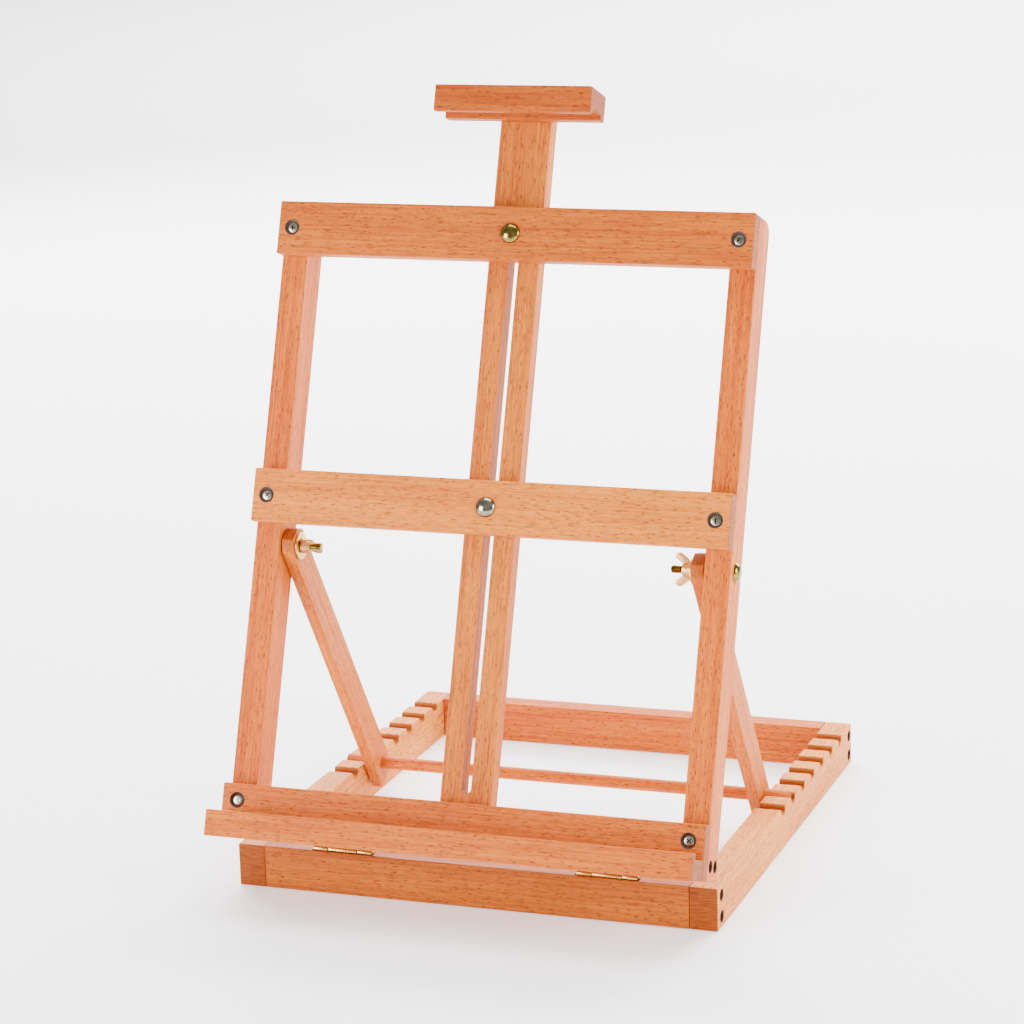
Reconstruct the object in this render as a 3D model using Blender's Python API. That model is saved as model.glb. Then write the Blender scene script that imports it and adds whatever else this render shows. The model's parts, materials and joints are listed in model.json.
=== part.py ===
"""Tabletop easel in oiled beech: a notched base frame, a front frame hinged to it on two
brass butt hinges, a prop whose dowel drops into the notches, and a sliding slotted mast that
carries the top canvas holder. Metres, +Z up, +Y towards the rear. The origin is on the
ground, in the middle of the easel's footprint."""

from math import atan2, cos, hypot, pi, radians, sin

import bmesh
import bpy
from mathutils import Euler, Matrix, Vector

MM = 0.001
GAP = 0.3 * MM                   # air left between pieces that touch

# Base frame
BASE_WIDTH = 355 * MM
BASE_DEPTH = 380 * MM
BASE_HEIGHT = 31 * MM
SIDE_RAIL = 20 * MM              # thickness of the two notched side rails
END_RAIL = 18 * MM               # thickness of the front and rear rails
NOTCHES = 7
NOTCH_PITCH = 28.2 * MM
NOTCH_MOUTH = 12.4 * MM
NOTCH_FLOOR = 10.2 * MM          # width across the round bottom
NOTCH_DEPTH = 6.8 * MM
LAST_NOTCH_REAR = 30.6 * MM      # from the rear end to the rear edge of the last notch
DOWEL_NOTCH = 5                  # counted from the rear, starting at 0

# Front frame, in its own directions: across (X), back (V) and up (U)
LEAN = radians(20.3)
FRAME_WIDTH = 351 * MM
UPRIGHT_WIDTH = 19 * MM
UPRIGHT_DEPTH = 28 * MM
BOARD = 12 * MM                  # thickness of the crossbars and of the tray board
BOARD_HEIGHT = 38 * MM
FRAME_BOTTOM = 2.5 * MM          # height of the frame's lower end above the hinge axis
FRAME_TOP = 456.5 * MM
MIDDLE_BAR = 226 * MM            # lower edge of the middle crossbar
TOP_ROUND = 10 * MM              # rounding of the uprights' rear top corner
TRAY_WIDTH = 353 * MM
LEDGE_DEPTH = 26.2 * MM
LEDGE_FLOOR = 14 * MM
LEDGE_HEIGHT = 18.5 * MM
LEDGE_LIP = 7 * MM
BOTTOM_RAIL_HEIGHT = 20 * MM
FACE_SCREW_X = 165 * MM          # from the middle to the boards' screws
TRAY_SCREW = 28.8 * MM           # height of the tray board's screws above the hinge axis

# Butt hinges
HINGE_SET_BACK = 3.5 * MM        # axis behind the base's front face
HINGE_RISE = 1.0 * MM            # axis above the base and behind the frame's back
HINGE_X = 98 * MM
HINGE_LENGTH = 44 * MM
BARREL_RADIUS = 2.1 * MM
PIN_RADIUS = 1 * MM
LEAF_THICKNESS = 1.1 * MM
LEAF_REACH = 12 * MM
END_KNUCKLE = 11 * MM            # length of each of the base leaf's two knuckles

# Mast and top canvas holder
MAST_WIDTH = 37.5 * MM
MAST_THICKNESS = 14 * MM
SLOT_WIDTH = 7 * MM
SLOT_BOTTOM = 47 * MM
HOLDER_BOTTOM = 519 * MM
HOLDER_HEIGHT = 19 * MM
HOLDER_WIDTH = 115.5 * MM
HOLDER_DEPTH = 33 * MM
HOLDER_LIP = 5 * MM
HOLDER_LEG = 9 * MM
HOLDER_CHANNEL = 4 * MM

# Prop
PIVOT_UP = 212.5 * MM
STRUT_WIDTH = 24 * MM
STRUT_THICKNESS = 9 * MM
STRUT_PLAY = 0.8 * MM            # between a strut and its upright
STRUT_TAIL = 16 * MM             # wood beyond the dowel
DOWEL_RADIUS = 4.8 * MM
DOWEL_LENGTH = 350 * MM
DOWEL_DROP = 1.7 * MM            # dowel centre below the top of the base

# Fasteners
BOLT_RADIUS = 3 * MM
BOLT_HEAD = 7.15 * MM
BOLT_DOME = 3.4 * MM
BOLT_NECK = 6.4 * MM             # side of the square under the head
SCREW_HEAD = 4 * MM
SCREW_SHANK = 2 * MM
COUNTERBORE = 5.3 * MM
SIDE_COUNTERBORE = 4 * MM
WING = 2.2 * MM                  # thickness of a wing nut's wings
WING_TIP = (9.2 * MM, 9 * MM)    # middle of a wing's tip: out from the bolt, and along it
NUT_TURN = {"left": radians(-15), "right": radians(75)}   # where the prop's wing nuts stand

# Places worked out from the dimensions above
FRAME_FRONT = -(BOARD + UPRIGHT_DEPTH + HINGE_RISE)      # V of the boards' front faces
FRAME_BACK = -HINGE_RISE
BOARD_BACK = FRAME_FRONT + BOARD
OVERHANG = (
    (LEDGE_DEPTH - FRAME_FRONT) * cos(LEAN) - FRAME_BOTTOM * sin(LEAN) - HINGE_SET_BACK
)
BASE_FRONT = -(BASE_DEPTH - OVERHANG) / 2
BASE_REAR = BASE_FRONT + BASE_DEPTH
HINGE_Y = BASE_FRONT + HINGE_SET_BACK
HINGE_Z = BASE_HEIGHT + HINGE_RISE
INNER = FRAME_WIDTH / 2 - UPRIGHT_WIDTH                  # X of the uprights' inner faces
STRUT_OUTER = INNER - STRUT_PLAY
STRUT_INNER = STRUT_OUTER - STRUT_THICKNESS
PIVOT_BACK = BOARD_BACK + UPRIGHT_DEPTH / 2
TOP_BAR = FRAME_TOP - BOARD_HEIGHT
MAST_FRONT = BOARD_BACK + GAP
MAST_BACK = MAST_FRONT + MAST_THICKNESS
MAST_BOTTOM = FRAME_BOTTOM + BOTTOM_RAIL_HEIGHT + GAP
MAST_TOP = HOLDER_BOTTOM + HOLDER_HEIGHT - GAP
SLOT_TOP = TOP_BAR + BOARD_HEIGHT / 2 + 7.5 * MM


def notch_rear(index):
    """Y of the rear edge of a notch, counted from the rear of the rail."""
    return BASE_REAR - LAST_NOTCH_REAR - index * NOTCH_PITCH


def frame_point(back, up):
    """World Y and Z of a point of the front frame."""
    y = HINGE_Y + up * sin(LEAN) + back * cos(LEAN)
    z = HINGE_Z + up * cos(LEAN) - back * sin(LEAN)
    return y, z


PIVOT_Y, PIVOT_Z = frame_point(PIVOT_BACK, PIVOT_UP)
DOWEL_Y = notch_rear(DOWEL_NOTCH) - NOTCH_MOUTH / 2
DOWEL_Z = BASE_HEIGHT - DOWEL_DROP
STRUT_LENGTH = hypot(DOWEL_Y - PIVOT_Y, DOWEL_Z - PIVOT_Z)
STRUT_ANGLE = atan2(DOWEL_Y - PIVOT_Y, PIVOT_Z - DOWEL_Z)


def clear_scene():
    for old in list(bpy.data.objects):
        bpy.data.objects.remove(old)


def material(name, colour, roughness, metallic=0.0):
    made = bpy.data.materials.new(name)
    made.use_nodes = True
    shader = made.node_tree.nodes["Principled BSDF"]
    shader.inputs["Base Color"].default_value = (*colour, 1)
    shader.inputs["Roughness"].default_value = roughness
    shader.inputs["Metallic"].default_value = metallic
    return made


def anchor(name, place, turn_x=0.0, parent=None):
    """An empty on a joint's axis, which the moving pieces are parented to."""
    empty = bpy.data.objects.new(name, None)
    empty.location = place
    empty.rotation_euler = Euler((turn_x, 0, 0))
    empty.parent = parent
    bpy.context.scene.collection.objects.link(empty)
    return empty


def finish(name, bm, finish_material=None, parent=None, smooth=False):
    """Turn a bmesh into a named object."""
    bmesh.ops.remove_doubles(bm, verts=bm.verts, dist=1e-6)
    bmesh.ops.recalc_face_normals(bm, faces=bm.faces)
    mesh = bpy.data.meshes.new(name)
    bm.to_mesh(mesh)
    bm.free()
    if smooth:
        mesh.shade_smooth()
        mesh.set_sharp_from_angle(angle=radians(35))
    made = bpy.data.objects.new(name, mesh)
    if finish_material:
        mesh.materials.append(finish_material)
    made.parent = parent
    bpy.context.scene.collection.objects.link(made)
    return made


def box(low, high):
    bm = bmesh.new()
    bmesh.ops.create_cube(bm, size=1)
    size = Vector(high) - Vector(low)
    bmesh.ops.scale(bm, vec=size, verts=bm.verts)
    bmesh.ops.translate(bm, vec=(Vector(low) + Vector(high)) / 2, verts=bm.verts)
    return bm


def prism(outline, x_low, x_high):
    """Extrude an outline of (Y, Z) points along X."""
    bm = bmesh.new()
    face = bm.faces.new([bm.verts.new((x_low, y, z)) for y, z in outline])
    swept = bmesh.ops.extrude_face_region(bm, geom=[face])
    moved = [v for v in swept["geom"] if isinstance(v, bmesh.types.BMVert)]
    bmesh.ops.translate(bm, vec=(x_high - x_low, 0, 0), verts=moved)
    return bm


def turned(profile, steps=32):
    """Turn a profile of (radius, height) points about Z; it starts and ends on the axis
    or closes on itself."""
    bm = bmesh.new()
    points = [bm.verts.new((r, 0, z)) for r, z in profile]
    edges = [bm.edges.new(pair) for pair in zip(points, points[1:])]
    if profile[0][0] > 0:
        edges.append(bm.edges.new((points[-1], points[0])))
    bmesh.ops.spin(
        bm, geom=points + edges, cent=(0, 0, 0), axis=(0, 0, 1),
        angle=2 * pi, steps=steps, use_merge=True,
    )
    return bm


def aim(bm, start, direction):
    """Move a shape built along +Z so that it starts at a point and runs along a direction."""
    turn = Vector(direction).to_track_quat("Z", "Y").to_matrix().to_4x4()
    bmesh.ops.transform(bm, matrix=Matrix.Translation(start) @ turn, verts=bm.verts)
    return bm


def ease(piece, width=0.8 * MM):
    """Take the sharp edge off a wooden piece."""
    bevel = piece.modifiers.new("eased edges", "BEVEL")
    bevel.width = width
    bevel.segments = 1
    bevel.limit_method = "ANGLE"
    bevel.angle_limit = radians(40)


def cut(piece, bm, operation="DIFFERENCE"):
    """Cut a shape out of a piece, or join it on."""
    cutter = finish(f"shape_{piece.name}_{len(piece.modifiers)}", bm, parent=piece.parent)
    cutter.hide_render = True
    cutter.display_type = "WIRE"
    boolean = piece.modifiers.new("cut", "BOOLEAN")
    boolean.operation = operation
    boolean.solver = "EXACT"
    boolean.object = cutter


def rod(radius, length, steps=20):
    return turned([(0, 0), (radius, 0), (radius, length), (0, length)], steps)


def drill(piece, start, direction, radius, length):
    """A round hole with its mouth just outside the surface."""
    lead = Vector(direction).normalized() * MM
    cut(piece, aim(rod(radius, length + MM), Vector(start) - lead, direction))


def wood_screw(name, seat, direction, length, parent):
    """Cross-recess countersunk screw: seat is the middle of its head's flat top."""
    head = SCREW_HEAD
    profile = [
        (0, 0), (head, 0), (head, 0.5 * MM), (SCREW_SHANK, 0.5 * MM + head - SCREW_SHANK),
        (SCREW_SHANK, length - 3 * MM), (0, length),
    ]
    screw = finish(name, aim(turned(profile, 24), seat, direction), STEEL, parent, smooth=True)
    for turn in (0, pi / 2):
        slot = box((-2.4 * MM, -0.6 * MM, -MM), (2.4 * MM, 0.6 * MM, 1.6 * MM))
        bmesh.ops.rotate(slot, matrix=Matrix.Rotation(turn, 3, "Z"), verts=slot.verts)
        cut(screw, aim(slot, seat, direction))
    return screw


def screwed(name, mouth, direction, bore, sunk, pieces, length, parent):
    """A screw in a counterbore: bores the first piece, drills the rest, sets the screw."""
    run = Vector(direction).normalized()
    mouth = Vector(mouth)
    drill(pieces[0], mouth, run, bore, sunk + 3 * MM)
    for piece in pieces:
        drill(piece, mouth, run, SCREW_SHANK + GAP, sunk + length + MM)
    return wood_screw(name, mouth + run * sunk, run, length, parent)


def carriage_bolt(name, seat, direction, length, finish_material, parent):
    """Domed head with a square neck: seat is where the head meets the wood."""
    dome = [
        (BOLT_HEAD * cos(a), -BOLT_DOME * sin(a))
        for a in [pi / 2 * k / 6 for k in range(6, -1, -1)]
    ]
    dome[0] = (0, -BOLT_DOME)
    profile = dome + [(BOLT_RADIUS, 0), (BOLT_RADIUS, length), (0, length)]
    bolt = finish(name, aim(turned(profile), seat, direction), finish_material, parent, True)
    half = BOLT_NECK / 2
    cut(bolt, aim(box((-half, -half, -0.2 * MM), (half, half, 4 * MM)), seat, direction), "UNION")
    return bolt


def bolt_hole(piece, seat, direction, length, square):
    """A clearance hole, with the square for the neck where the head sits."""
    drill(piece, seat, direction, BOLT_RADIUS + GAP, length)
    if square:
        half = BOLT_NECK / 2 + GAP
        neck = box((-half, -half, -MM), (half, half, 4 * MM + GAP))
        cut(piece, aim(neck, seat, direction))


def washer(name, seat, direction, outer, thickness, finish_material, parent):
    hole = BOLT_RADIUS + GAP
    profile = [(hole, 0), (outer, 0), (outer, thickness), (hole, thickness)]
    return finish(name, aim(turned(profile), seat, direction), finish_material, parent, True)


def wing_nut(name, place, direction, wing_turn, finish_material, parent):
    """Hub with two upswept wings. Its origin is on the bolt's axis, where it meets the
    washer, and its own Z runs out along the bolt."""
    hole = BOLT_RADIUS + GAP
    hub = [(hole, 0), (5.4 * MM, 0), (5.4 * MM, MM), (4.4 * MM, 7 * MM), (hole, 7 * MM)]
    nut = finish(name, turned(hub), finish_material, parent, smooth=True)
    for side in (1, -1):
        tip = [
            (WING_TIP[0] + 2.6 * MM * cos(a), WING_TIP[1] + 3.2 * MM * sin(a))
            for a in [radians(d) for d in range(-60, 151, 30)]
        ]
        outline = [(3.9 * MM, 1.2 * MM), (7.6 * MM, 2.4 * MM), *tip, (3.9 * MM, 6.2 * MM)]
        wing = prism([(side * r, z) for r, z in outline], -WING / 2, WING / 2)
        bmesh.ops.recalc_face_normals(wing, faces=wing.faces)
        cut(nut, wing, "UNION")
        nut.modifiers[-1].object.parent = nut
    along = Vector(direction).to_track_quat("Z", "Y")
    nut.location = place
    nut.rotation_mode = "QUATERNION"
    nut.rotation_quaternion = along @ Euler((0, 0, wing_turn)).to_quaternion()
    return nut


def notch_outline(rear):
    """A notch from its front edge to its rear edge: sloped sides and a round bottom."""
    centre = rear - NOTCH_MOUTH / 2
    radius = NOTCH_FLOOR / 2
    middle = BASE_HEIGHT - NOTCH_DEPTH + radius
    turns = [pi + pi * k / 8 for k in range(9)]
    bottom = [(centre + radius * cos(a), middle + radius * sin(a)) for a in turns]
    return [(rear - NOTCH_MOUTH, BASE_HEIGHT), *bottom, (rear, BASE_HEIGHT)]


def side_rail(name, side):
    outline = [(BASE_REAR, 0), (BASE_FRONT, 0), (BASE_FRONT, BASE_HEIGHT)]
    for index in reversed(range(NOTCHES)):
        outline += notch_outline(notch_rear(index))
    outline.append((BASE_REAR, BASE_HEIGHT))
    outer = BASE_WIDTH / 2
    ends = sorted((side * outer, side * (outer - SIDE_RAIL)))
    rail = finish(name, prism(outline, *ends), BEECH)
    ease(rail, 0.6 * MM)
    return rail


def end_rail(name, front):
    reach = BASE_WIDTH / 2 - SIDE_RAIL - GAP
    rail = finish(name, box((-reach, front, 0), (reach, front + END_RAIL, BASE_HEIGHT)), BEECH)
    ease(rail, 0.6 * MM)
    return rail


def build_base():
    rails = {side: side_rail(f"base_rail_{label}", side) for side, label in SIDES}
    front = end_rail("base_rail_front", BASE_FRONT)
    rear = end_rail("base_rail_rear", BASE_REAR - END_RAIL)
    ends = (("front", front, BASE_FRONT + 10 * MM), ("rear", rear, BASE_REAR - 8 * MM))
    for side, label in SIDES:
        for end, end_piece, y in ends:
            for level, height in (("lower", 0.25), ("upper", 0.75)):
                mouth = (side * BASE_WIDTH / 2, y, BASE_HEIGHT * height)
                screwed(
                    f"base_screw_{end}_{label}_{level}", mouth, (-side, 0, 0),
                    SIDE_COUNTERBORE + GAP, 5 * MM, (rails[side], end_piece), 40 * MM, None,
                )
    return front


def build_hinge(label, centre, front_rail, bottom_rail, frame):
    """Butt hinge: the base leaf carries the two end knuckles, the frame leaf the long one."""
    low, high = centre - HINGE_LENGTH / 2, centre + HINGE_LENGTH / 2
    inner_low, inner_high = low + END_KNUCKLE, high - END_KNUCKLE
    axis = Vector((0, HINGE_Y, HINGE_Z))
    face = 0.1 * MM                       # leaf face to the hinge's middle plane
    leaf_low = -face - LEAF_THICKNESS
    root = 0.4 * MM

    def knuckle(start, length):
        ring = [
            (PIN_RADIUS + GAP / 2, 0), (BARREL_RADIUS, 0),
            (BARREL_RADIUS, length), (PIN_RADIUS + GAP / 2, length),
        ]
        return aim(turned(ring, 24), (start, 0, 0), (1, 0, 0))

    def bored(piece):
        hole = rod(PIN_RADIUS + GAP / 2, HINGE_LENGTH + 4 * MM)
        cut(piece, aim(hole, (low - 2 * MM, 0, 0), (1, 0, 0)))

    def relief(piece, start, end):
        """Room for the other leaf's knuckle."""
        cut(piece, aim(rod(BARREL_RADIUS + GAP, end - start), (start, 0, 0), (1, 0, 0)))

    base_anchor = anchor(f"hinge_{label}_axis", axis)
    base_leaf = finish(
        f"hinge_{label}_base_leaf",
        box((low, root, leaf_low), (high, BARREL_RADIUS + LEAF_REACH, -face)), BRASS, base_anchor,
    )
    relief(base_leaf, inner_low - GAP, inner_high + GAP)
    for start in (low, inner_high + GAP):
        cut(base_leaf, knuckle(start, END_KNUCKLE - GAP), "UNION")
    bored(base_leaf)

    frame_leaf = finish(
        f"hinge_{label}_frame_leaf",
        box((low, leaf_low, root), (high, -face, BARREL_RADIUS + LEAF_REACH)), BRASS, frame,
    )
    relief(frame_leaf, low - MM, inner_low + GAP)
    relief(frame_leaf, inner_high - GAP, high + MM)
    cut(frame_leaf, knuckle(inner_low + GAP, inner_high - inner_low - 2 * GAP), "UNION")
    bored(frame_leaf)

    pin = aim(rod(PIN_RADIUS, HINGE_LENGTH + MM, 16), (low - 0.5 * MM, 0, 0), (1, 0, 0))
    finish(f"hinge_{label}_pin", pin, STEEL, base_anchor, smooth=True)

    mortise = box(
        (low - GAP, HINGE_Y + root, HINGE_Z + leaf_low - GAP),
        (high + GAP, HINGE_Y + BARREL_RADIUS + LEAF_REACH + GAP, HINGE_Z + 5 * MM),
    )
    cut(front_rail, mortise)
    groove = rod(BARREL_RADIUS + GAP, HINGE_LENGTH + 2 * MM + 2 * GAP, 24)
    cut(front_rail, aim(groove, (low - MM - GAP, HINGE_Y, HINGE_Z), (1, 0, 0)))
    cut(bottom_rail, box(
        (low - GAP, leaf_low - GAP, -5 * MM),
        (high + GAP, 5 * MM, BARREL_RADIUS + LEAF_REACH + GAP),
    ))


def build_front_frame(frame):
    half = FRAME_WIDTH / 2
    rounded = [
        (FRAME_BACK - TOP_ROUND + TOP_ROUND * cos(a), FRAME_TOP - TOP_ROUND + TOP_ROUND * sin(a))
        for a in [pi / 2 * k / 8 for k in range(9)]
    ]
    outline = [
        (BOARD_BACK + GAP, FRAME_BOTTOM), (FRAME_BACK, FRAME_BOTTOM), *rounded,
        (BOARD_BACK + GAP, FRAME_TOP),
    ]
    uprights = {}
    for side, label in SIDES:
        ends = sorted((side * half, side * INNER))
        uprights[side] = finish(f"upright_{label}", prism(outline, *ends), BEECH, frame)
        ease(uprights[side])

    boards = {}
    for name, width, low in (
        ("crossbar_top", FRAME_WIDTH, TOP_BAR),
        ("crossbar_middle", FRAME_WIDTH, MIDDLE_BAR),
        ("tray_board", TRAY_WIDTH, FRAME_BOTTOM),
    ):
        shape = box(
            (-width / 2, FRAME_FRONT, low), (width / 2, BOARD_BACK, low + BOARD_HEIGHT))
        boards[name] = finish(name, shape, BEECH, frame)
        ease(boards[name])

    ledge_front = FRAME_FRONT - GAP - LEDGE_DEPTH
    ledge = finish("tray_ledge", prism([
        (FRAME_FRONT - GAP, FRAME_BOTTOM),
        (FRAME_FRONT - GAP, FRAME_BOTTOM + LEDGE_FLOOR),
        (ledge_front + LEDGE_LIP, FRAME_BOTTOM + LEDGE_FLOOR),
        (ledge_front + LEDGE_LIP, FRAME_BOTTOM + LEDGE_HEIGHT),
        (ledge_front, FRAME_BOTTOM + LEDGE_HEIGHT),
        (ledge_front, FRAME_BOTTOM),
    ], -TRAY_WIDTH / 2, TRAY_WIDTH / 2), BEECH, frame)
    ease(ledge)

    reach = INNER - GAP
    bottom_rail = finish("bottom_rail", box(
        (-reach, BOARD_BACK + GAP, FRAME_BOTTOM),
        (reach, FRAME_BACK, FRAME_BOTTOM + BOTTOM_RAIL_HEIGHT),
    ), BEECH, frame)
    ease(bottom_rail, 0.6 * MM)

    for name, board in boards.items():
        height = {"crossbar_top": TOP_BAR, "crossbar_middle": MIDDLE_BAR}.get(name)
        height = TRAY_SCREW if height is None else height + BOARD_HEIGHT / 2
        for side, label in SIDES:
            screwed(
                f"face_screw_{name.split('_')[-1]}_{label}",
                (side * FACE_SCREW_X, FRAME_FRONT, height), (0, 1, 0),
                COUNTERBORE, 1.4 * MM, (board, uprights[side]), 28 * MM, frame,
            )
    for side, label in SIDES:
        for place, back in (("front", 11 * MM), ("rear", 22.5 * MM)):
            mouth = (side * half, BOARD_BACK + back, FRAME_BOTTOM + BOTTOM_RAIL_HEIGHT / 2)
            screwed(
                f"rail_screw_{label}_{place}", mouth, (-side, 0, 0), SIDE_COUNTERBORE + GAP,
                5 * MM, (uprights[side], bottom_rail), 35 * MM, frame,
            )
    return uprights, boards, bottom_rail


def build_mast(frame, boards):
    mast = finish("mast_slat", box(
        (-MAST_WIDTH / 2, MAST_FRONT, MAST_BOTTOM), (MAST_WIDTH / 2, MAST_BACK, MAST_TOP),
    ), BEECH, frame)
    ease(mast)
    half = SLOT_WIDTH / 2
    low, high = SLOT_BOTTOM + half, SLOT_TOP - half
    ends = [(high, a) for a in range(0, 181, 20)] + [(low, a) for a in range(180, 361, 20)]
    slot = bmesh.new()
    face = slot.faces.new([
        slot.verts.new((half * cos(radians(a)), MAST_FRONT - MM, z + half * sin(radians(a))))
        for z, a in ends
    ])
    swept = bmesh.ops.extrude_face_region(slot, geom=[face])
    moved = [v for v in swept["geom"] if isinstance(v, bmesh.types.BMVert)]
    bmesh.ops.translate(slot, vec=(0, MAST_THICKNESS + 2 * MM, 0), verts=moved)
    cut(mast, slot)

    back = BOARD_BACK
    front = back - HOLDER_DEPTH
    low, high = HOLDER_BOTTOM, HOLDER_BOTTOM + HOLDER_HEIGHT
    ceiling = low + HOLDER_CHANNEL
    holder = finish("canvas_holder", prism([
        (back, low), (back, high), (front, high), (front, low), (front + HOLDER_LIP, low),
        (front + HOLDER_LIP, ceiling), (back - HOLDER_LEG, ceiling), (back - HOLDER_LEG, low),
    ], -HOLDER_WIDTH / 2, HOLDER_WIDTH / 2), BEECH, frame)
    ease(holder)
    for side, label in SIDES:
        mouth = (side * 10 * MM, MAST_BACK, (ceiling + high) / 2)
        screwed(
            f"holder_screw_{label}", mouth, (0, -1, 0), SCREW_HEAD + GAP, 1 * MM,
            (mast, holder), 30 * MM, frame,
        )

    for place, name, low in (
        ("top", "crossbar_top", TOP_BAR), ("middle", "crossbar_middle", MIDDLE_BAR),
    ):
        seat = Vector((0, FRAME_FRONT - GAP, low + BOARD_HEIGHT / 2))
        run = Vector((0, 1, 0))
        carriage_bolt(f"mast_bolt_{place}", seat, run, 42 * MM, STEEL, frame)
        bolt_hole(boards[name], seat, run, BOARD + 2 * MM, True)
        plate = Vector((0, MAST_BACK + GAP, seat.z))
        washer(f"mast_washer_{place}", plate, run, 9 * MM, 1.4 * MM, STEEL, frame)
        nut = plate + run * (1.4 * MM + GAP)
        wing_nut(f"mast_wing_nut_{place}", nut, run, 0, BRASS, frame)


def build_prop(frame, uprights):
    prop = anchor("prop_axis", (0, PIVOT_BACK, PIVOT_UP), STRUT_ANGLE + LEAN, frame)
    half = STRUT_WIDTH / 2
    clip = half * 0.42
    outline = [
        (half, -STRUT_LENGTH - STRUT_TAIL), (half, clip), (clip, half),
        (-clip, half), (-half, clip), (-half, -STRUT_LENGTH - STRUT_TAIL),
    ]
    for side, label in SIDES:
        ends = sorted((side * STRUT_OUTER, side * STRUT_INNER))
        strut = finish(f"strut_{label}", prism(outline, *ends), BEECH, prop)
        ease(strut, 0.6 * MM)
        across = Vector((-side, 0, 0))
        drill(strut, (side * STRUT_OUTER, 0, 0), across, BOLT_RADIUS + GAP, STRUT_THICKNESS + 2 * MM)
        drill(
            strut, (side * STRUT_OUTER, 0, -STRUT_LENGTH), across,
            DOWEL_RADIUS + GAP, STRUT_THICKNESS + 2 * MM,
        )
        seat = Vector((side * (FRAME_WIDTH / 2 + GAP), PIVOT_BACK, PIVOT_UP))
        carriage_bolt(f"prop_bolt_{label}", seat, across, 46 * MM, STEEL, frame)
        bolt_hole(uprights[side], seat, across, UPRIGHT_WIDTH + 3 * MM, True)
        plate = Vector((side * (STRUT_INNER - GAP), PIVOT_BACK, PIVOT_UP))
        washer(f"prop_washer_{label}", plate, across, 10 * MM, 1.4 * MM, BRASS, frame)
        nut = plate + across * (1.4 * MM + GAP)
        wing_nut(f"prop_wing_nut_{label}", nut, across, NUT_TURN[label], BRASS, frame)
    chamfer = 0.8 * MM
    reach = DOWEL_LENGTH
    profile = [
        (0, 0), (DOWEL_RADIUS - chamfer, 0), (DOWEL_RADIUS, chamfer),
        (DOWEL_RADIUS, reach - chamfer), (DOWEL_RADIUS - chamfer, reach), (0, reach),
    ]
    dowel = aim(turned(profile, 32), (-reach / 2, 0, -STRUT_LENGTH), (1, 0, 0))
    finish("prop_dowel", dowel, BEECH, prop, smooth=True)


clear_scene()
SIDES = ((-1, "left"), (1, "right"))
BEECH = material("oiled beech", (0.62, 0.30, 0.13), 0.5)
STEEL = material("nickel-plated steel", (0.62, 0.58, 0.50), 0.3, 1.0)
BRASS = material("brass", (0.72, 0.48, 0.18), 0.35, 1.0)

base_front_rail = build_base()
front_frame = anchor("front_frame_axis", (0, HINGE_Y, HINGE_Z), -LEAN)
frame_uprights, frame_boards, frame_bottom_rail = build_front_frame(front_frame)
for hinge_side, hinge_label in SIDES:
    build_hinge(hinge_label, hinge_side * HINGE_X, base_front_rail, frame_bottom_rail, front_frame)
build_mast(front_frame, frame_boards)
build_prop(front_frame, frame_uprights)
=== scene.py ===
"""Tabletop easel in steamed, oiled beech, with nickel-plated and brass fittings."""
import json
from math import atan2, cos, hypot, pi, radians, sin

import bmesh
import bpy
from mathutils import Euler, Matrix, Vector


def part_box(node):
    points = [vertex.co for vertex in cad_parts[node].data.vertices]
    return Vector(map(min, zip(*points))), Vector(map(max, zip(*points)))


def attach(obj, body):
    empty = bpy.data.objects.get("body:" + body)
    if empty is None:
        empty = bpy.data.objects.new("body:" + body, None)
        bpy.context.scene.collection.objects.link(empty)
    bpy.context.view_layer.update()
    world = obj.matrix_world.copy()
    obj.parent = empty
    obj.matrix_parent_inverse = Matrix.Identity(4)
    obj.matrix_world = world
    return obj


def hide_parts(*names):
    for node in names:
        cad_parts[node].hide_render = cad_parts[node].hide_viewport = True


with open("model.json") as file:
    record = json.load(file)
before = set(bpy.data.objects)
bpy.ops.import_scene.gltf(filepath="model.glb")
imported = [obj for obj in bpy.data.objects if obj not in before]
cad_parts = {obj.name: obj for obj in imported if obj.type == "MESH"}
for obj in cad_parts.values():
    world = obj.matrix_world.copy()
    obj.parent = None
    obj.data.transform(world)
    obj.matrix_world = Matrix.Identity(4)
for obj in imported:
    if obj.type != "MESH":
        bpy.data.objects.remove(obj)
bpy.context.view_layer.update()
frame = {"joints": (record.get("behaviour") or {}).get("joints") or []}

MM = 0.001

# ---------------------------------------------------------------- sizes, in millimetres
BASE_WIDTH, BASE_DEPTH, BASE_HEIGHT = 355, 380, 31
SIDE_RAIL, END_RAIL = 20, 18
NOTCHES, NOTCH_PITCH, NOTCH_MOUTH = 7, 28.2, 12.4
NOTCH_RADIUS, NOTCH_DEPTH, LAST_NOTCH_REAR = 5.1, 6.8, 30.6
DOWEL_NOTCH = 5                   # notches behind the one that the dowel sits in
FRONT_SCREWS, REAR_SCREWS = 10, 8            # set in from the side rails' two ends

# The front frame, in its own directions: across, back and up from the hinge axis.
LEAN = radians(20.3)
FRAME_WIDTH, UPRIGHT_WIDTH, TOP_ROUND = 351, 19, 10
BOARD_HEIGHT, TRAY_WIDTH = 38, 353
FRAME_BOTTOM, FRAME_TOP, MIDDLE_BAR = 2.5, 456.5, 226
TOP_BAR = FRAME_TOP - BOARD_HEIGHT
FRAME_FRONT, BOARD_BACK, FRAME_BACK = -41, -29, -1
FACE_SCREW_X, TRAY_SCREW = 165, 28.8
LEDGE_DEPTH, LEDGE_HEIGHT, LEDGE_FLOOR, LEDGE_LIP = 26.2, 18.5, 14, 7
BOTTOM_RAIL_HEIGHT = 20
RAIL_SCREWS = {"front": 11, "rear": 22.5}    # set back from the boards' back faces

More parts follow.
